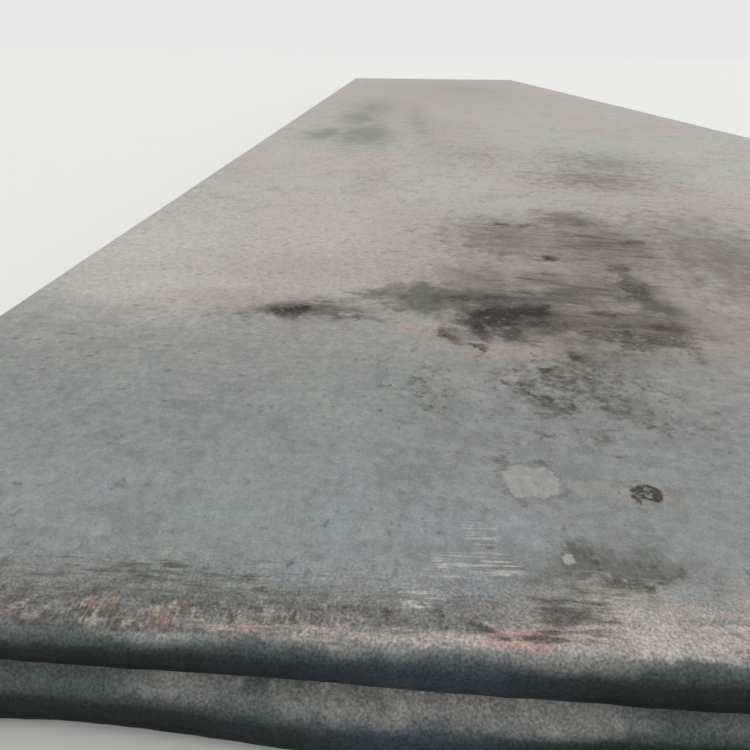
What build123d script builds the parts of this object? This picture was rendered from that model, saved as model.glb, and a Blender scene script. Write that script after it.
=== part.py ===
from build123d import *
import os

# A thick hot-rolled steel plate, lying flat, with the edges that the mill left on it.
# Millimetres. +Y runs along the plate, +X across it and +Z up; the near end is at -Y.

# Overall sizes of the plate
LENGTH = 9000
WIDTH = 2200
THICKNESS = 100

# The rolled edge: two bulges, one over the other, with a crease between them
SHOULDER_RADIUS = 16  # where a broad face turns down, or up, into its bulge
BULGE_RADIUS = 22  # where a bulge turns back into the crease
CREASE_DEPTH = 12  # from the upper bulge's face to the bottom of the crease

# Plan of the plate
CORNER_RADIUS = 60
END_SKEW = 52  # how much further the near end reaches on the right than on the left

# The lower bulge at the near end, which doesn't keep in line with the upper one
LOWER_REACH = 9  # how far it stands out past the upper one, on average
WAVE_HEIGHT = 5  # how far it wanders either way from that
WAVE_COUNT = 5  # full waves across the width

SAME_PLACE = 0.01


def near_end(reach, wave_height):
    """The near end's line from the left side to the right, as arcs that bulge out and in by turns."""
    left = Vector(-WIDTH / 2, -LENGTH / 2 + END_SKEW - reach)
    right = Vector(WIDTH / 2, -LENGTH / 2 - reach)
    if wave_height == 0:
        return [Line(left, right)]
    across = (right - left) / (2 * WAVE_COUNT)
    outward = Vector(across.Y, -across.X).normalized()
    arcs = []
    for half_wave in range(2 * WAVE_COUNT):
        start = left + across * half_wave
        side = -1 if half_wave % 2 else 1
        crest = start + across / 2 + outward * (side * wave_height)
        arcs.append(ThreePointArc(start, crest, start + across))
    return arcs


def outline(reach=0, wave_height=0):
    """The plate's outline seen from above, with its corners rounded as the rolls leave them."""
    end = near_end(reach, wave_height)
    far_right = (WIDTH / 2, LENGTH / 2)
    far_left = (-WIDTH / 2, LENGTH / 2)
    right_side = Line(end[-1] @ 1, far_right)
    far_end = Line(far_right, far_left)
    left_side = Line(far_left, end[0] @ 0)
    plan = make_face([*end, right_side, far_end, left_side])
    corners = [v for v in plan.vertices() if abs(abs(v.X) - WIDTH / 2) < SAME_PLACE]
    return fillet(corners, CORNER_RADIUS)


def half_plate(plan, bottom, low_radius, top_radius):
    """One half of the thickness, whose edge is a single bulge."""
    slab = extrude(Pos(Z=bottom) * plan, amount=THICKNESS / 2, dir=(0, 0, 1))
    slab = fillet(slab.faces().sort_by(Axis.Z)[-1].edges(), top_radius)
    return fillet(slab.faces().sort_by(Axis.Z)[0].edges(), low_radius)


def steel_plate():
    """Both halves, and the metal between them that closes the bottom of the crease."""
    upper_plan = outline()
    lower_plan = outline(LOWER_REACH, WAVE_HEIGHT)
    lower = half_plate(lower_plan, 0, SHOULDER_RADIUS, BULGE_RADIUS)
    upper = half_plate(upper_plan, THICKNESS / 2, BULGE_RADIUS, SHOULDER_RADIUS)
    waist_plan = offset(upper_plan, -CREASE_DEPTH)
    waist = extrude(Pos(Z=SHOULDER_RADIUS) * waist_plan, amount=THICKNESS - 2 * SHOULDER_RADIUS, dir=(0, 0, 1))
    plate = lower + upper + waist
    middle = plate.bounding_box().center()
    return Pos(-middle.X, -middle.Y, 0) * plate


os.makedirs("parts", exist_ok=True)
export_step(steel_plate(), "parts/steel_plate.step")
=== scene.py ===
# A thick hot-rolled steel plate lying flat: its rolled edges, its scale and what a stockyard leaves on it.
import math
import bpy
import numpy as np
from mathutils import Matrix, Vector


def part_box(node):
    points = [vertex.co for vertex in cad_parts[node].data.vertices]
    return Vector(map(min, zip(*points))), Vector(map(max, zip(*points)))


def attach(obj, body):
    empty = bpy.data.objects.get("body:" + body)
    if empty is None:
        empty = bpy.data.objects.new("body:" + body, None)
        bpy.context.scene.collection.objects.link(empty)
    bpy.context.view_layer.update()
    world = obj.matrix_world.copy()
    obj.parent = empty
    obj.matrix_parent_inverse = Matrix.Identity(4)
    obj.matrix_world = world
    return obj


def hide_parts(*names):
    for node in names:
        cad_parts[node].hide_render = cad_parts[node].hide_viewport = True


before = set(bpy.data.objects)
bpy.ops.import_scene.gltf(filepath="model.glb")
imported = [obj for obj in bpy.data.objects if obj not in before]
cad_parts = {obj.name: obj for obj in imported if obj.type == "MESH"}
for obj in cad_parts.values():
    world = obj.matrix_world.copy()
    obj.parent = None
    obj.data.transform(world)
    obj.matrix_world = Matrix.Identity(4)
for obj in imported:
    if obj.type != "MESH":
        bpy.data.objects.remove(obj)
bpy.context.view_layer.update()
plate_low, plate_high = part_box("steel_plate")


# The camera
# It looks along the plate from just outside its near end, left of the middle and about knee high.

camera_left_of_middle = 0.541
camera_before_end = 0.2285
camera_above_plate = 0.328
camera_down = math.radians(29.16)
camera_turned_left = math.radians(1.47)
camera_roll = math.radians(0.63)
camera_lens = 27.82
camera_sensor = 36.0
camera_sees_to = 200.0

plate_length = 9.0
end_skew = 0.052
plate_width = plate_high.x - plate_low.x
thickness = plate_high.z - plate_low.z
near_right = plate_high.y - plate_length
end_at_camera = near_right + end_skew * (plate_width / 2 + camera_left_of_middle) / plate_width

camera_data = bpy.data.cameras.new("plate_camera")
camera_data.lens = camera_lens
camera_data.sensor_width = camera_sensor
camera_data.clip_end = camera_sees_to
camera = bpy.data.objects.new("plate_camera", camera_data)
bpy.context.scene.collection.objects.link(camera)
camera_place = Vector((
    -camera_left_of_middle,
    end_at_camera - camera_before_end,
    plate_high.z + camera_above_plate,
))
camera.matrix_world = (
    Matrix.Translation(camera_place)
    @ Matrix.Rotation(camera_turned_left, 4, "Z")
    @ Matrix.Rotation(math.pi / 2 - camera_down, 4, "X")
    @ Matrix.Rotation(camera_roll, 4, "Z")
)
bpy.context.scene.camera = camera


# The floor and the light
# A plain pale floor, an even pale sky and one wide soft lamp from behind the plate's right side.

floor_size = 160.0
sky_level = 0.82
lamp_level = 0.82
lamp_spread = math.radians(50)
lamp_from = Vector((0.45, 0.50, 1.0))


def linear(colour):
    """An sRGB hex colour as linear red, green, blue and alpha."""
    shares = [int(colour[start : start + 2], 16) / 255 for start in (1, 3, 5)]
    return [
        share / 12.92 if share <= 0.04045 else ((share + 0.055) / 1.055) ** 2.4
        for share in shares
    ] + [1.0]


def add_node(tree, kind, inputs=None, **settings):
    """Add a node with its settings, and set or link each input that is given."""
    node = tree.nodes.new(kind)
    for name, value in settings.items():
        setattr(node, name, value)
    for socket, value in (inputs or {}).items():
        if isinstance(value, bpy.types.NodeSocket):
            tree.links.new(value, node.inputs[socket])
        else:
            node.inputs[socket].default_value = value
    return node


def new_material(name):
    """An empty material, with its tree and its output node."""
    material = bpy.data.materials.new(name)
    material.use_nodes = True
    material.node_tree.nodes.clear()
    output = add_node(material.node_tree, "ShaderNodeOutputMaterial")
    return material, material.node_tree, output


bpy.context.scene.view_settings.view_transform = "Standard"
world = bpy.data.worlds.new("pale_sky")
world.use_nodes = True
bpy.context.scene.world = world
sky = world.node_tree.nodes["Background"]
sky.inputs["Color"].default_value = linear("#ffffff")
sky.inputs["Strength"].default_value = sky_level

lamp_data = bpy.data.lights.new("soft_lamp", "SUN")
lamp_data.energy = lamp_level
lamp_data.angle = lamp_spread
lamp = bpy.data.objects.new("soft_lamp", lamp_data)
bpy.context.scene.collection.objects.link(lamp)
lamp.rotation_euler = lamp_from.to_track_quat("Z", "Y").to_euler()

bpy.ops.object.select_all(action="DESELECT")
bpy.ops.mesh.primitive_plane_add(size=floor_size, location=(0, 0, 0))
floor = bpy.context.object
floor.name = "floor"

# Matt pale paint, which keeps the plate's soft shadow and has no shine.
floor_material, tree, output = new_material("pale_floor_paint")
paint = add_node(tree, "ShaderNodeBsdfPrincipled", {"Base Color": linear("#e6e6e3"), "Roughness": 0.9})
tree.links.new(paint.outputs["BSDF"], output.inputs["Surface"])
floor.data.materials.append(floor_material)


# The plate
# One slab of hot-rolled steel with the edges that the rolls left: two bulges with a crease between.
# Nothing was cut, so the corners are round and the near end isn't quite square.

shoulder_radius = 0.016
bulge_radius = 0.022
crease_depth = 0.012
corner_radius = 0.060
lower_reach = 0.009
wave_height = 0.005
wave_count = 5
crease_rise = 0.006
crease_waves = 2
near_end_length = 0.5  # how far in from the near end its skew and waves have died away
shoulder_points = 6
bulge_points = 7
smooth_angle = math.radians(50)
tiny = 1e-9

# The mesh is finest around where the camera is nearest, and its cells grow away from there.
fine_cell = 0.006
fine_half_width = 0.25
fine_length = 0.35
corner_cell = 0.011
coarse_cell = 0.050
cell_growth_across = 0.05
cell_growth_along = 0.018
sample_count = 20001


def stations(start, stop, cell_size):
    """Places from start to stop, spaced by the cell size that is wanted at each place."""
    samples = np.linspace(start, stop, sample_count)
    cells = np.concatenate([[0.0], np.cumsum(np.diff(samples) / cell_size(samples[:-1]))])
    count = int(round(cells[-1]))
    return np.interp(np.linspace(0, cells[-1], count + 1), cells, samples)


def column_cell(x):
    """The cell size that is wanted at places across the plate."""
    from_view = np.maximum(np.abs(x + camera_left_of_middle) - fine_half_width, 0)
    cell = np.minimum(fine_cell + cell_growth_across * from_view, coarse_cell)
    in_corner = np.abs(x) > plate_width / 2 - corner_radius
    return np.where(in_corner, np.minimum(cell, corner_cell), cell)


def row_cell(y):
    """The cell size that is wanted at places along the plate."""
    from_view = np.maximum(y - near_right - fine_length, 0)
    cell = np.minimum(fine_cell + cell_growth_along * from_view, coarse_cell)
    in_corner = y > plate_high.y - corner_radius
    return np.where(in_corner, np.minimum(cell, corner_cell), cell)


def edge_section():
    """The rolled edge from its top rim to its bottom one: how far out, and how high, each level is."""
    upper = []
    for angle in np.linspace(0, math.pi / 2, shoulder_points):
        height = thickness - shoulder_radius * (1 - math.cos(angle))
        upper.append((shoulder_radius * (math.sin(angle) - 1), height))
    straight = thickness / 2 - shoulder_radius - bulge_radius
    for share in (1 / 3, 2 / 3):
        upper.append((0.0, thickness - shoulder_radius - straight * share))
    for angle in np.linspace(0, math.acos(1 - crease_depth / bulge_radius), bulge_points):
        height = thickness / 2 + bulge_radius * (1 - math.sin(angle))
        upper.append((bulge_radius * (math.cos(angle) - 1), height))
    return upper + [(out, thickness - height) for out, height in reversed(upper)]


columns = stations(-plate_width / 2 + shoulder_radius, plate_width / 2 - shoulder_radius, column_cell)
rows = stations(near_right + shoulder_radius, plate_high.y - shoulder_radius, row_cell)

bpy.ops.object.select_all(action="DESELECT")
bpy.ops.mesh.primitive_grid_add(x_subdivisions=len(columns) - 1, y_subdivisions=len(rows) - 1, size=2)
plate = bpy.context.object
plate.name = "rolled_plate"
points = np.zeros(len(plate.data.vertices) * 3)
plate.data.vertices.foreach_get("co", points)
points = points.reshape(-1, 3)
column_of = np.rint((points[:, 0] + 1) / 2 * (len(columns) - 1)).astype(int)
row_of = np.rint((points[:, 1] + 1) / 2 * (len(rows) - 1)).astype(int)
points[:, 0] = columns[column_of]
points[:, 1] = rows[row_of]
points[:, 2] = thickness

# Each corner's square of cells is drawn in to a quarter circle.
middle_y = (near_right + plate_high.y) / 2
half_size = np.array([plate_width / 2, (plate_high.y - near_right) / 2])
from_middle = points[:, :2] - np.array([0, middle_y])
past = np.abs(from_middle) - (half_size - corner_radius)
in_corner = (past > 0).all(axis=1)
past_x, past_y = past[in_corner].T
flat_angle = math.pi / 4 * past_y / np.maximum(past_x, tiny)
steep_angle = math.pi / 2 - math.pi / 4 * past_x / np.maximum(past_y, tiny)
angle = np.where(past_y > past_x, steep_angle, flat_angle)
radius = np.maximum(past_x, past_y)
drawn_in = np.stack([radius * np.cos(angle), radius * np.sin(angle)], axis=1)
signs = np.sign(from_middle[in_corner])
points[in_corner, :2] = np.array([0, middle_y]) + signs * (half_size - corner_radius + drawn_in)
plate.data.vertices.foreach_set("co", points.ravel())

# The edge is drawn straight down from the top face's rim, level by level, and the underside closes it.
section = edge_section()
bpy.ops.object.mode_set(mode="EDIT")
bpy.ops.mesh.select_all(action="SELECT")
bpy.ops.mesh.region_to_loop()
for level, next_level in zip(section, section[1:]):
    bpy.ops.mesh.extrude_edges_move(TRANSFORM_OT_translate={"value": (0, 0, next_level[1] - level[1])})
bpy.ops.mesh.edge_face_add()
bpy.ops.mesh.select_all(action="SELECT")
bpy.ops.mesh.normals_make_consistent(inside=False)
bpy.ops.object.mode_set(mode="OBJECT")

# Each level is pushed out to its place in the bulges.
points = np.zeros(len(plate.data.vertices) * 3)
plate.data.vertices.foreach_get("co", points)
points = points.reshape(-1, 3)
levels = np.array(section[::-1])
push = shoulder_radius + np.interp(points[:, 2], levels[:, 1], levels[:, 0])
from_middle = points[:, :2] - np.array([0, middle_y])
outward = from_middle - np.clip(from_middle, corner_radius - half_size, half_size - corner_radius)
outward /= np.maximum(np.linalg.norm(outward, axis=1, keepdims=True), tiny)
points[:, :2] += outward * push[:, None]

# The near end runs out of square, its lower bulge wanders out past the upper one, and its crease up and down.
near_fade = np.clip(1 - (points[:, 1] - near_right) / near_end_length, 0, 1)
near_fade = near_fade * near_fade * (3 - 2 * near_fade)
from_left = points[:, 0] / plate_width + 0.5
below = points[:, 2] < thickness / 2
wander = lower_reach + wave_height * np.sin(2 * math.pi * wave_count * from_left)
points[:, 1] += near_fade * (end_skew * (1 - from_left) - wander * below)
inside = 4 * points[:, 2] * (thickness - points[:, 2]) / thickness**2
points[:, 2] += near_fade * inside * crease_rise * np.sin(2 * math.pi * crease_waves * from_left)
plate.data.vertices.foreach_set("co", points.ravel())
plate.data.update()

# The bulges are lumpy, and the broad faces are a little wavy and dented; all of it is metal that's missing.
# Each kind of relief has its name, its size from lump to lump, its fineness, its depth and where it lies.
lumpy = plate.vertex_groups.new(name="lumpy")
broad = plate.vertex_groups.new(name="broad")
lumpiness = np.clip(3 * inside, 0, 1)
breadth = np.clip(1 - (thickness - points[:, 2]) / shoulder_radius, 0, 1)
for group, weights in ((lumpy, lumpiness), (broad, breadth)):
    weights = np.round(weights, 2)
    for weight in np.unique(weights[weights > 0]):
        group.add(np.flatnonzero(weights == weight).tolist(), float(weight), "REPLACE")
relief = [
    ("long_lumps", 0.080, 1, 0.0030, "lumpy"),
    ("short_lumps", 0.022, 2, 0.0016, "lumpy"),
    ("waves", 0.700, 1, 0.0020, "broad"),
    ("dents", 0.050, 2, 0.0006, "broad"),
]
for name, size, fineness, depth, group in relief:
    clouds = bpy.data.textures.new(name, "CLOUDS")
    clouds.noise_scale = size
    clouds.noise_depth = fineness
    press = plate.modifiers.new(name, "DISPLACE")
    press.texture = clouds
    press.texture_coords = "LOCAL"
    press.vertex_group = group
    press.mid_level = 1.0
    press.strength = depth
    bpy.ops.object.modifier_apply(modifier=press.name)
plate.vertex_groups.clear()
bpy.ops.object.shade_smooth_by_angle(angle=smooth_angle)


# The plate's finish
# Mill scale in greys that lean to blue and green, which is partly painted sheen,
# under dust that is thicker away from the near end. Mud, rust and clay lie on it in patches.
# The rolled edge is charcoal with dust on its tops and painted shade where it faces down,
# and a painted highlight runs along the near rim.
# To the eye it is dull and grainy all over, with hardly any shine.

plate_material, tree, output = new_material("mill_scale")

# Places on the plate, in metres: spot in all three directions, and place across from the left edge and along
# from the near end.
spot = add_node(tree, "ShaderNodeTexCoord").outputs["Object"]
axes = add_node(tree, "ShaderNodeSeparateXYZ", {0: spot})
across = add_node(
    tree, "ShaderNodeMath", {0: axes.outputs["X"], 1: plate_width / 2}, operation="ADD"
).outputs[0]
unskewed = add_node(
    tree,
    "ShaderNodeMath",
    {0: across, 1: end_skew / plate_width, 2: -near_right - end_skew},
    operation="MULTIPLY_ADD",
).outputs[0]
along = add_node(tree, "ShaderNodeMath", {0: axes.outputs["Y"], 1: unskewed}, operation="ADD").outputs[0]
place = add_node(tree, "ShaderNodeCombineXYZ", {"X": across, "Y": along}).outputs[0]

# Noise that the layers share: patches, blotches, smears, flecks and grain, by the size of what each makes,
# and streaks that run across the plate. Real scale's grain is finer: it's as coarse here as it needs to show.
patch_size = 0.60
blotch_size = 0.11
smear_size = 0.034
fleck_size = 0.010
grain_size = 0.0022
streak_length = 0.090
streak_width = 0.018
streak_turn = math.radians(-10)
patches = add_node(
    tree,
    "ShaderNodeTexNoise",
    {"Vector": place, "Scale": 1 / patch_size, "Detail": 4.0},
    noise_dimensions="2D",
)
blotches = add_node(
    tree,
    "ShaderNodeTexNoise",
    {"Vector": place, "Scale": 1 / blotch_size, "Detail": 5.0, "Roughness": 0.6},
    noise_dimensions="2D",
)
smears = add_node(
    tree,
    "ShaderNodeTexNoise",
    {"Vector": place, "Scale": 1 / smear_size, "Detail": 5.0, "Roughness": 0.68},
    noise_dimensions="2D",
)
flecks = add_node(
    tree, "ShaderNodeTexNoise", {"Vector": spot, "Scale": 1 / fleck_size, "Detail": 3.0, "Roughness": 0.6}
)
grain = add_node(
    tree, "ShaderNodeTexNoise", {"Vector": spot, "Scale": 1 / grain_size, "Detail": 2.0, "Roughness": 0.6}
)
streaked = add_node(
    tree,
    "ShaderNodeMapping",
    {"Vector": place, "Rotation": (0, 0, streak_turn), "Scale": (streak_length, streak_width, 1)},
    vector_type="TEXTURE",
)
streaks = add_node(
    tree,
    "ShaderNodeTexNoise",
    {"Vector": streaked.outputs[0], "Scale": 1.0, "Detail": 4.0, "Roughness": 0.65},
    noise_dimensions="2D",
).outputs[0]

# Each noise's red, green and blue serve as three noises of one size.
patch = add_node(tree, "ShaderNodeSeparateColor", {0: patches.outputs["Color"]}).outputs
blotch = add_node(tree, "ShaderNodeSeparateColor", {0: blotches.outputs["Color"]}).outputs
smear = add_node(tree, "ShaderNodeSeparateColor", {0: smears.outputs["Color"]}).outputs
fleck = add_node(tree, "ShaderNodeSeparateColor", {0: flecks.outputs["Color"]}).outputs

# Stains are placed from the near left corner, on a place that the blotches and smears push about.
# Each stain has its place across and along, its half sizes across and along, its turn in degrees and its
# strength. At its half sizes it has faded to about half, and it ends soft_rim times as far out.
stain_push = 0.07
soft_rim = 2.2
drift = add_node(
    tree, "ShaderNodeVectorMath", {0: blotches.outputs["Color"], 1: smears.outputs["Color"]}, operation="ADD"
).outputs[0]
drift = add_node(
    tree,
    "ShaderNodeVectorMath",
    {0: drift, 1: (stain_push, stain_push, 0), 2: (-stain_push, -stain_push, 0)},
    operation="MULTIPLY_ADD",
).outputs[0]
pushed = add_node(tree, "ShaderNodeVectorMath", {0: place, 1: drift}, operation="ADD").outputs[0]


def deepest(one, other):
    """The deeper of two fields at each place, or the other one where there is no first."""
    if one is None:
        return other
    return add_node(tree, "ShaderNodeMath", {0: one, 1: other}, operation="MAXIMUM").outputs[0]


def stain_field(stains, where):
    """How deep each place lies in some oval stains: 0 at a rim, and the stain's strength in its middle."""
    field = None
    for strength in sorted({stain[-1] for stain in stains}):
        alike = None
        for x, y, half_across, half_along, turn in (stain[:-1] for stain in stains if stain[-1] == strength):
            oval = add_node(
                tree,
                "ShaderNodeMapping",
                {
                    "Vector": where,
                    "Location": (x, y, 0),
                    "Rotation": (0, 0, math.radians(turn)),
                    "Scale": (half_across * soft_rim, half_along * soft_rim, 1),
                },
                vector_type="TEXTURE",
            )
            cone = add_node(
                tree, "ShaderNodeTexGradient", {"Vector": oval.outputs[0]}, gradient_type="SPHERICAL"
            )
            alike = deepest(alike, cone.outputs["Fac"])
        if strength != 1:
            alike = add_node(
                tree, "ShaderNodeMath", {0: alike, 1: strength}, operation="MULTIPLY"
            ).outputs[0]
        field = deepest(field, alike)
    return field


def ragged(field, noise, raggedness, low, high, most=1.0):
    """A layer's cover once noise has torn its rim: none below low, and the most above high."""
    # Noise is a half on average, so low and high go up by half the raggedness and the rim keeps its place.
    torn = add_node(
        tree, "ShaderNodeMath", {0: noise, 1: raggedness, 2: field}, operation="MULTIPLY_ADD"
    ).outputs[0]
    shift = raggedness / 2
    return add_node(
        tree,
        "ShaderNodeMapRange",
        {0: torn, 1: low + shift, 2: high + shift, 3: 0.0, 4: most},
        interpolation_type="SMOOTHSTEP",
    ).outputs[0]


def layer(under, colour, field, noise, raggedness, low, high, most=1.0):
    """A layer of one colour, or of a coloured socket, laid over what's under it with a ragged rim."""
    if isinstance(colour, str):
        colour = linear(colour)
    cover = ragged(field, noise, raggedness, low, high, most)
    return add_node(tree, "ShaderNodeMix", {0: cover, 6: under, 7: colour}, data_type="RGBA").outputs[2]


def set_stops(ramp, stops):
    """Give a ramp its stops, each a place from 0 to 1 and a colour."""
    while len(ramp.elements) < len(stops):
        ramp.elements.new(0.5)
    for element, (stop, colour) in zip(ramp.elements, stops):
        element.position = stop
        element.color = colour


# Bare mill scale, which is dense and dull: grey, with blue and green patches that are partly the scale's own
# tint and partly painted sheen where the light catches it.
coat = layer(linear("#7f8281"), "#8a8d8b", blotch[0], streaks, 1.1, 0.20, 0.80)
green_scale_and_sheen = [
    (0.423, 0.127, 0.110, 0.060, 0, 0.9),
    (0.488, 0.289, 0.060, 0.070, 0, 0.7),
    (0.566, 0.353, 0.020, 0.120, 0, 0.7),
    (0.624, 0.140, 0.026, 0.014, 0, 0.8),
    (0.270, 0.289, 0.080, 0.100, 0, 0.6),
]
coat = layer(coat, "#86928c", stain_field(green_scale_and_sheen, pushed), smear[1], 1.2, 0.2, 1.0, 0.6)
blue_scale_and_sheen = [
    (0.523, 0.126, 0.020, 0.050, 0, 1.0),
    (0.495, 0.067, 0.018, 0.009, 0, 0.9),
    (0.453, 0.120, 0.014, 0.018, 0, 0.6),
    (0.329, 0.128, 0.018, 0.020, 0, 0.8),
    (0.340, 0.079, 0.015, 0.013, 0, 0.7),
    (0.596, 0.119, 0.027, 0.030, 0, 1.0),
    (0.665, 0.125, 0.020, 0.020, 0, 0.9),
    (0.611, 0.051, 0.016, 0.012, 0, 0.8),
]
coat = layer(coat, "#8a9299", stain_field(blue_scale_and_sheen, pushed), smear[2], 1.3, 0.2, 1.1, 0.75)

# Yard dust, thin by the near end and thick enough further on to hide the scale.
# On the right, the place where it gets thick wanders back and forth with the patches.
wander_start = 1.00
wander_full = 1.50
dust_wander = 1.6
patch_middle = 0.42
wandering = add_node(
    tree, "ShaderNodeMapRange", {0: across, 1: wander_start, 2: wander_full, 3: 0.0, 4: dust_wander}
).outputs[0]
from_middle = add_node(
    tree, "ShaderNodeMath", {0: patch[2], 1: patch_middle}, operation="SUBTRACT"
).outputs[0]
dust_place = add_node(
    tree, "ShaderNodeMath", {0: wandering, 1: from_middle, 2: along}, operation="MULTIPLY_ADD"
).outputs[0]
dust_field = add_node(tree, "ShaderNodeValToRGB", {0: dust_place})

# How deep the dust lies, by metres along.
dust_depths = [(0.0, 0.04), (0.25, 0.08), (0.42, 0.28), (0.55, 0.50), (0.64, 0.76), (0.80, 0.86), (1.0, 0.92)]
set_stops(dust_field.color_ramp, [(metres, (depth, depth, depth, 1)) for metres, depth in dust_depths])
dust_colour = layer(linear("#b5b1a8"), "#aeb1a8", patch[0], blotch[1], 0.5, 0.35, 0.65)
dust_colour = layer(dust_colour, "#b2a7a0", patch[1], blotch[2], 0.5, 0.40, 0.75, 0.8)
dust_colour = layer(dust_colour, "#8f8a82", smear[1], blotch[0], 1.0, 0.45, 0.85, 0.5)
coat = layer(coat, dust_colour, dust_field.outputs["Color"], smear[2], 0.7, 0.0, 1.0)

# Films of dust and washed mud, wide and soft: pale and tan, brown on the right, nearly black in wisps,
# clay-coloured, olive, and green-grey further away. Each has its colour, the noise that tears it, how ragged
# it is, the depths at which it starts and is full, its most cover, and its stains.
films = [
    ("#b9b6ad", blotch[0], 1.2, 0.20, 0.90, 0.70, [
        (0.087, 0.853, 0.130, 0.170, 0, 1.0),
        (0.230, 0.655, 0.160, 0.110, 0, 1.0),
        (0.153, 1.937, 0.110, 0.240, 0, 0.7),
        (1.145, 1.318, 0.090, 0.120, 0, 0.6),
        (0.450, 0.980, 0.200, 0.240, 0, 0.7),
        (0.370, 0.690, 0.120, 0.100, 0, 0.75),
    ]),
    ("#a69d90", streaks, 0.8, 0.20, 1.00, 0.60, [
        (1.000, 5.800, 1.000, 2.600, 0, 1.0),
        (0.800, 3.000, 0.300, 0.500, 0, 0.9),
    ]),
    ("#988b83", smear[0], 0.9, 0.15, 0.90, 0.75, [
        (0.860, 0.820, 0.280, 0.300, 0, 1.0),
        (0.880, 0.520, 0.220, 0.100, 0, 1.0),
        (1.150, 1.500, 0.300, 0.400, 0, 0.6),
    ]),
    ("#6f675f", smear[0], 1.0, 0.20, 1.00, 0.90, [
        (0.700, 0.700, 0.100, 0.080, 0, 0.9),
        (0.790, 0.960, 0.110, 0.150, 0, 0.9),
        (0.950, 0.580, 0.080, 0.060, 0, 0.9),
        (0.880, 0.525, 0.100, 0.045, 0, 1.3),
        (0.976, 0.920, 0.140, 0.200, 0, 1.0),
        (0.871, 0.661, 0.130, 0.100, 0, 1.0),
        (0.960, 1.111, 0.080, 0.090, 0, 1.0),
        (1.162, 1.615, 0.200, 0.180, 0, 0.8),
        (1.278, 1.921, 0.220, 0.300, 0, 0.7),
        (0.859, 2.085, 0.240, 0.360, 0, 0.55),
        (0.501, 1.550, 0.080, 0.240, 0, 0.5),
        (0.816, 0.446, 0.120, 0.090, 0, 0.7),
        (0.684, 0.434, 0.050, 0.024, 0, 0.7),
        (0.431, 0.546, 0.120, 0.050, 5, 0.8),
        (1.185, 0.841, 0.200, 0.360, 0, 0.9),
    ]),
    ("#4a413b", streaks, 2.2, 0.72, 1.35, 0.85, [
        (0.850, 0.640, 0.200, 0.160, 0, 1.0),
        (0.970, 0.940, 0.160, 0.200, 0, 1.0),
        (0.900, 0.500, 0.120, 0.060, 0, 1.1),
        (0.730, 0.500, 0.120, 0.080, 0, 0.9),
        (0.450, 0.560, 0.080, 0.040, 0, 0.9),
    ]),
    ("#a4978c", smear[0], 0.9, 0.25, 0.90, 0.80, [
        (0.690, 0.440, 0.070, 0.030, 0, 0.9),
        (0.310, 0.599, 0.090, 0.035, 0, 1.0),
        (0.396, 0.723, 0.170, 0.100, 0, 0.8),
        (0.592, 0.505, 0.050, 0.040, -10, 0.8),
        (0.595, 0.725, 0.080, 0.080, 0, 0.8),
        (0.731, 0.435, 0.045, 0.025, 0, 0.8),
        (0.723, 0.367, 0.018, 0.025, 0, 0.7),
    ]),
    ("#55564f", smear[0], 0.9, 0.20, 1.00, 0.85, [
        (0.650, 0.618, 0.090, 0.034, 0, 1.5),
        (0.721, 0.616, 0.110, 0.026, 2, 1.2),
        (0.622, 0.596, 0.050, 0.035, 0, 1.2),
        (0.734, 0.542, 0.080, 0.060, 0, 1.0),
        (0.959, 0.655, 0.024, 0.085, 0, 1.2),
        (0.431, 0.551, 0.070, 0.025, 5, 0.8),
        (0.837, 0.416, 0.060, 0.050, 0, 0.6),
        (0.810, 0.310, 0.045, 0.050, 0, 0.6),
        (0.722, 0.079, 0.070, 0.020, 0, 0.9),
        (0.396, 0.051, 0.120, 0.020, 0, 0.6),
    ]),
    ("#767a74", streaks, 1.4, 0.25, 1.05, 0.80, [
        (0.430, 2.620, 0.130, 0.420, 0, 1.1),
        (0.367, 3.325, 0.110, 0.500, 0, 1.0),
        (0.260, 2.600, 0.110, 0.240, 0, 1.0),
        (0.420, 3.950, 0.170, 0.950, 0, 0.8),
        (0.690, 3.200, 0.080, 1.000, 0, 0.7),
        (1.380, 6.600, 0.400, 1.100, 0, 0.55),
    ]),
]
for colour, noise, *cover, stains in films:
    coat = layer(coat, colour, stain_field(stains, pushed), noise, *cover)

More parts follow.
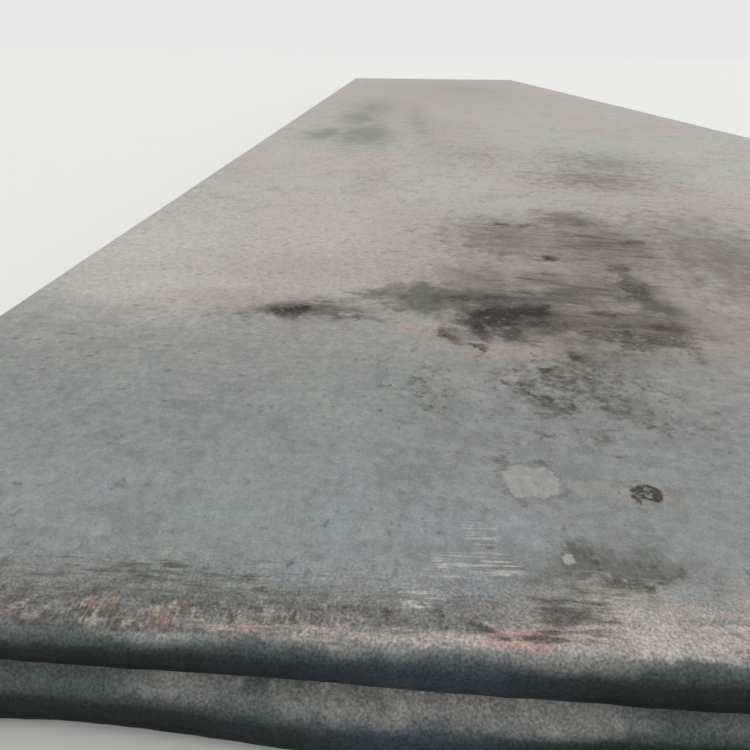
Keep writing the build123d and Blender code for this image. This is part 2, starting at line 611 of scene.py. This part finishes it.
# Mud that was trodden and smeared, nearly black where it's thick.
mud_stains = [
    (0.734, 0.542, 0.068, 0.050, 0, 1.30),
    (0.751, 0.558, 0.030, 0.038, 0, 1.60),
    (0.697, 0.540, 0.034, 0.028, 0, 1.50),
    (0.721, 0.616, 0.100, 0.016, 2, 0.90),
    (0.665, 0.612, 0.060, 0.014, 0, 0.95),
    (0.757, 0.485, 0.050, 0.022, 0, 0.65),
    (0.860, 0.535, 0.060, 0.016, -8, 0.85),
    (0.641, 0.485, 0.013, 0.034, 25, 0.90),
    (0.666, 0.452, 0.026, 0.009, -8, 0.95),
    (0.803, 0.643, 0.026, 0.008, 5, 0.85),
    (0.845, 0.659, 0.013, 0.028, 15, 0.70),
    (0.881, 0.565, 0.028, 0.014, -10, 0.95),
    (0.888, 0.478, 0.036, 0.024, -25, 1.05),
    (0.844, 0.501, 0.036, 0.016, 10, 0.80),
    (0.931, 0.527, 0.030, 0.024, -30, 0.95),
    (0.959, 0.665, 0.018, 0.070, 0, 1.05),
    (0.966, 0.772, 0.021, 0.024, 10, 0.95),
    (0.848, 0.824, 0.027, 0.018, -8, 1.05),
    (0.811, 1.056, 0.019, 0.024, 20, 1.00),
    (0.857, 1.064, 0.027, 0.016, 8, 0.80),
    (0.779, 0.956, 0.031, 0.011, 5, 0.65),
    (0.709, 0.887, 0.019, 0.013, 8, 0.65),
    (0.768, 0.857, 0.035, 0.013, 3, 0.65),
    (0.964, 1.101, 0.060, 0.034, -25, 0.65),
    (1.044, 0.941, 0.017, 0.024, -20, 1.05),
    (0.421, 0.557, 0.025, 0.025, 5, 1.15),
    (0.432, 0.553, 0.072, 0.018, 5, 0.80),
    (0.494, 0.534, 0.050, 0.009, -5, 0.75),
    (0.510, 0.628, 0.029, 0.009, 0, 0.65),
    (0.749, 0.366, 0.012, 0.023, 0, 0.90),
    (0.720, 0.320, 0.011, 0.030, 0, 0.90),
    (0.800, 0.421, 0.017, 0.024, 0, 0.95),
    (0.750, 0.303, 0.011, 0.013, 0, 0.80),
    (0.599, 0.382, 0.008, 0.010, 0, 0.65),
]
mud_field = stain_field(mud_stains, pushed)
coat = layer(coat, "#554e46", mud_field, smear[1], 1.5, 0.20, 1.05, 0.95)
coat = layer(coat, "#232322", mud_field, smear[2], 1.3, 0.55, 1.15, 0.92)

# Where it was trodden most the mud has dried in crumbs, dark and pale.
trodden = [
    (0.780, 0.350, 0.090, 0.090, 0, 1.0),
    (0.880, 0.480, 0.080, 0.060, 0, 0.9),
    (0.930, 0.680, 0.060, 0.100, 0, 0.8),
    (0.728, 0.070, 0.060, 0.019, 0, 0.9),
    (0.600, 0.330, 0.050, 0.060, 0, 0.75),
]
trodden_field = stain_field(trodden, pushed)
coat = layer(coat, "#5f5e55", trodden_field, smear[1], 2.4, 0.50, 1.15, 0.80)
coat = layer(coat, "#3b3a35", trodden_field, fleck[1], 2.8, 0.65, 1.30, 0.65)
coat = layer(coat, "#9a968a", trodden_field, fleck[2], 2.8, 0.80, 1.35, 0.50)

# Flecks: dark pits in the scale, and pale specks of dust.
coat = layer(coat, "#54534e", fleck[1], smear[0], 1.0, 0.62, 0.90, 0.6)
coat = layer(coat, "#b4b0a6", fleck[2], smear[1], 1.0, 0.70, 0.95, 0.4)

# A dried puddle's pale round with a dark rim, a pit beside it whose dark middle is painted shade,
# and a drop's pale spot.
# Stains as small as these and the near end's are pushed about only a tenth as far.
steadiness = 0.90
wavering = add_node(
    tree, "ShaderNodeMix", {0: steadiness, 4: pushed, 5: place}, data_type="VECTOR"
).outputs[1]
puddle = stain_field([(0.688, 0.180, 0.026, 0.024, 0, 1.0)], wavering)
coat = layer(coat, "#55534e", puddle, smear[0], 1.2, 0.40, 0.60, 0.7)
coat = layer(coat, "#9a9a97", puddle, smear[0], 0.6, 0.50, 0.59, 0.9)
pit_and_painted_shade = stain_field([(0.781, 0.169, 0.018, 0.011, 0, 1.1), (0.728, 0.170, 0.020, 0.006, 0, 0.6)], wavering)
coat = layer(coat, "#918a80", pit_and_painted_shade, smear[2], 1.6, 0.30, 0.75, 0.7)
# The pit's dark middle: painted shade.
coat = layer(coat, "#2a2a27", pit_and_painted_shade, smear[1], 1.8, 0.52, 0.80, 0.9)
coat = layer(coat, "#a5a39b", pit_and_painted_shade, fleck[2], 2.4, 0.80, 1.10, 0.5)
drop = stain_field([(0.698, 0.089, 0.005, 0.005, 0, 1.0)], wavering)
coat = layer(coat, "#a0a09b", drop, fleck[0], 0.6, 0.50, 0.70, 0.8)

# A darker strip where the top face turns over into the edge, smudged along the rim.
smudge_length = 0.040
smudge_width = 0.0055
strip_start = 0.100
strip_full = 0.020
smudged = add_node(
    tree,
    "ShaderNodeVectorMath",
    {0: place, 1: (1 / smudge_length, 1 / smudge_width, 0)},
    operation="MULTIPLY",
).outputs[0]
smudges = add_node(
    tree,
    "ShaderNodeTexNoise",
    {"Vector": smudged, "Scale": 1.0, "Detail": 5.0, "Roughness": 0.7},
    noise_dimensions="2D",
).outputs[0]
near_strip = add_node(
    tree, "ShaderNodeMapRange", {0: along, 1: strip_start, 2: strip_full}, interpolation_type="SMOOTHSTEP"
).outputs[0]
strip_colour = layer(linear("#3d3a35"), "#79736a", smudges, fleck[2], 1.4, 0.25, 0.85)
coat = layer(coat, strip_colour, near_strip, smudges, 1.8, 0.35, 1.25, 0.85)
coat = layer(coat, "#45413b", near_strip, fleck[1], 3.0, 0.95, 1.50, 0.60)
coat = layer(coat, "#a29a90", near_strip, fleck[2], 3.0, 1.05, 1.55, 0.55)

# Darker charcoal patches, pale and pinkish clay, light rust and cracks of dirt lie in it,
# with painted shadow beside a crust of torn scale and a pale painted highlight along the rim.
near_stains = [
    # Darker charcoal patches on the shoulder at the left.
    ("#434b48", smudges, 1.2, 0.30, 0.95, 0.80, [
        (0.388, 0.005, 0.060, 0.006, 0, 1.2),
        (0.450, 0.006, 0.040, 0.005, 0, 0.8),
    ]),
    ("#a9a299", smudges, 1.5, 0.20, 0.95, 0.92, [
        (0.635, 0.014, 0.125, 0.008, 0, 1.05),
        (0.720, 0.006, 0.090, 0.010, 0, 1.3),
        (0.515, 0.012, 0.030, 0.004, 0, 0.55),
        (0.455, 0.018, 0.034, 0.005, 0, 0.70),
        (0.725, 0.018, 0.066, 0.032, 0, 1.3),
        (0.820, 0.024, 0.060, 0.034, 0, 0.9),
        (0.588, 0.007, 0.028, 0.010, 0, 0.8),
        (0.393, 0.078, 0.013, 0.005, 0, 0.6),
    ]),
    ("#a8908a", fleck[2], 1.0, 0.30, 0.80, 0.85, [
        (0.648, 0.018, 0.018, 0.007, 0, 1.4),
    ]),
    ("#8f7568", fleck[1], 1.9, 0.50, 1.30, 0.55, [
        (0.370, 0.032, 0.010, 0.007, 0, 1.2),
        (0.416, 0.023, 0.018, 0.007, 0, 1.2),
        (0.471, 0.019, 0.014, 0.009, 0, 1.2),
        (0.660, 0.022, 0.004, 0.003, 0, 1.8),
    ]),
    # Cracks of dirt; the small stain at 0.472 across is painted shadow beside a crust of torn scale.
    ("#46433f", smudges, 1.8, 0.55, 1.15, 0.85, [
        (0.400, 0.060, 0.110, 0.022, 0, 0.8),
        (0.404, 0.066, 0.018, 0.006, -10, 1.1),
        (0.472, 0.051, 0.012, 0.006, 20, 1.0),
        (0.626, 0.026, 0.020, 0.0035, -25, 1.2),
        (0.662, 0.021, 0.020, 0.003, 0, 1.2),
        (0.688, 0.040, 0.032, 0.018, 0, 1.3),
        (0.665, 0.024, 0.026, 0.010, 0, 1.0),
        (0.545, 0.030, 0.060, 0.020, 0, 0.7),
    ]),
    # A pale line on the rim's shoulder: a painted highlight.
    ("#99948a", fleck[2], 1.4, 0.50, 1.00, 0.60, [
        (0.505, 0.009, 0.026, 0.002, 0, 1.0),
        (0.597, 0.007, 0.020, 0.002, 0, 0.9),
    ]),
]
for colour, noise, *cover, stains in near_stains:
    coat = layer(coat, colour, stain_field(stains, wavering), noise, *cover)

# Fine pale scratches that run across the plate close together, and pale drips that end at the rim.
scratch_length = 0.045
scratch_gap = 0.0030
drip_width = 0.0030
drip_length = 0.012
marks = [
    ("#a9aaa6", (1 / scratch_length, 1 / scratch_gap, 0), 0.49, 0.63, 0.85, [
        (0.634, 0.114, 0.014, 0.013, 0, 1.0),
        (0.632, 0.080, 0.030, 0.013, 0, 1.0),
        (0.603, 0.070, 0.022, 0.004, 0, 1.0),
        (0.583, 0.048, 0.015, 0.010, 0, 0.9),
    ]),
    ("#a3998b", (1 / drip_width, 1 / drip_length, 0), 0.50, 0.76, 0.50, [
        (0.500, 0.022, 0.060, 0.012, 0, 1.0),
        (0.416, 0.022, 0.070, 0.012, 0, 1.0),
        (0.308, 0.019, 0.060, 0.012, 0, 0.8),
    ]),
]
for colour, stretch, low, high, most, stains in marks:
    stretched = add_node(
        tree, "ShaderNodeVectorMath", {0: place, 1: stretch}, operation="MULTIPLY"
    ).outputs[0]
    strokes = add_node(
        tree, "ShaderNodeTexNoise", {"Vector": stretched, "Scale": 1.0, "Detail": 1.0}, noise_dimensions="2D"
    )
    strokes = ragged(strokes.outputs[0], fleck[0], 0.30, low, high, most)
    marked = ragged(stain_field(stains, place), smear[0], 1.0, 0.35, 0.75)
    strokes = add_node(tree, "ShaderNodeMath", {0: strokes, 1: marked}, operation="MULTIPLY").outputs[0]
    colour = linear(colour)
    coat = add_node(tree, "ShaderNodeMix", {0: strokes, 6: coat, 7: colour}, data_type="RGBA").outputs[2]

# The rolled edge: charcoal scale with painted shade by how it faces, near black where it faces down,
# in the crease and under the bulges, and lighter as it turns up, where dust lies on its tops.
# The underside, which is flat, is plain grey scale.
faces_down = -1.0
faces_up = 0.9
facing = add_node(tree, "ShaderNodeNewGeometry").outputs["Normal"]
facing = add_node(tree, "ShaderNodeSeparateXYZ", {0: facing}).outputs["Z"]
painted_shade_place = add_node(tree, "ShaderNodeMapRange", {0: facing, 1: faces_down, 2: faces_up})
painted_shade_ramp = add_node(tree, "ShaderNodeValToRGB", {0: painted_shade_place.outputs[0]})

# Each painted shade stands at its share of the way from facing down to facing up.
painted_edge_shades = [
    (0.010, "#5f6462"),
    (0.035, "#050706"),
    (0.211, "#050706"),
    (0.487, "#111615"),
    (0.645, "#2b3432"),
    (0.803, "#4b5452"),
    (0.961, "#596360"),
]
set_stops(painted_shade_ramp.color_ramp, [(share, linear(colour)) for share, colour in painted_edge_shades])
bluish = stain_field([(0.575, 0.000, 0.090, 0.060, 0, 1.0)], place)
edge_colour_and_shade = layer(painted_shade_ramp.outputs["Color"], "#485463", bluish, blotch[1], 1.2, 0.20, 1.00, 0.32)
# Pale on what faces up: partly dust, partly painted light on the bulges' tops.
edge_colour_and_shade = layer(edge_colour_and_shade, "#8a8a86", facing, blotch[2], 1.8, 0.55, 1.15, 0.85)
edge_cover = ragged(facing, fleck[2], 0.40, 0.99, 0.83)
coat = add_node(tree, "ShaderNodeMix", {0: edge_cover, 6: coat, 7: edge_colour_and_shade}, data_type="RGBA").outputs[2]

# Every layer is uneven at the size of smears, flecks and grain, and the rolled edge is grainy like felt.
felt_strength = 0.75
unevenness = [(smear[0], 0.18), (fleck[0], 0.30), (grain.outputs[0], 0.32)]
for noise, most in unevenness:
    coat = add_node(
        tree, "ShaderNodeMix", {0: most, 6: coat, 7: noise}, data_type="RGBA", blend_type="OVERLAY"
    ).outputs[2]
felt = add_node(tree, "ShaderNodeMath", {0: edge_cover, 1: near_strip}, operation="MAXIMUM").outputs[0]
felt = add_node(tree, "ShaderNodeMath", {0: felt, 1: felt_strength}, operation="MULTIPLY").outputs[0]
coat = add_node(
    tree, "ShaderNodeMix", {0: felt, 6: coat, 7: grain.outputs[0]}, data_type="RGBA", blend_type="OVERLAY"
).outputs[2]

# Scale is an oxide, so it has no metal's shine: it is pitted and rough to the touch, and scatters the light.
pit_depth = 0.003
grain_depth = 0.0008
bump = add_node(
    tree,
    "ShaderNodeBump",
    {"Height": flecks.outputs[0], "Distance": pit_depth, "Strength": 0.5},
)
bump = add_node(
    tree,
    "ShaderNodeBump",
    {"Height": grain.outputs[0], "Distance": grain_depth, "Strength": 0.6, "Normal": bump.outputs[0]},
)
scale = add_node(
    tree,
    "ShaderNodeBsdfPrincipled",
    {"Base Color": coat, "Roughness": 0.62, "Specular IOR Level": 0.1, "Normal": bump.outputs[0]},
)
tree.links.new(scale.outputs["BSDF"], output.inputs["Surface"])
plate.data.materials.append(plate_material)
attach(plate, "root")
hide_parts("steel_plate")
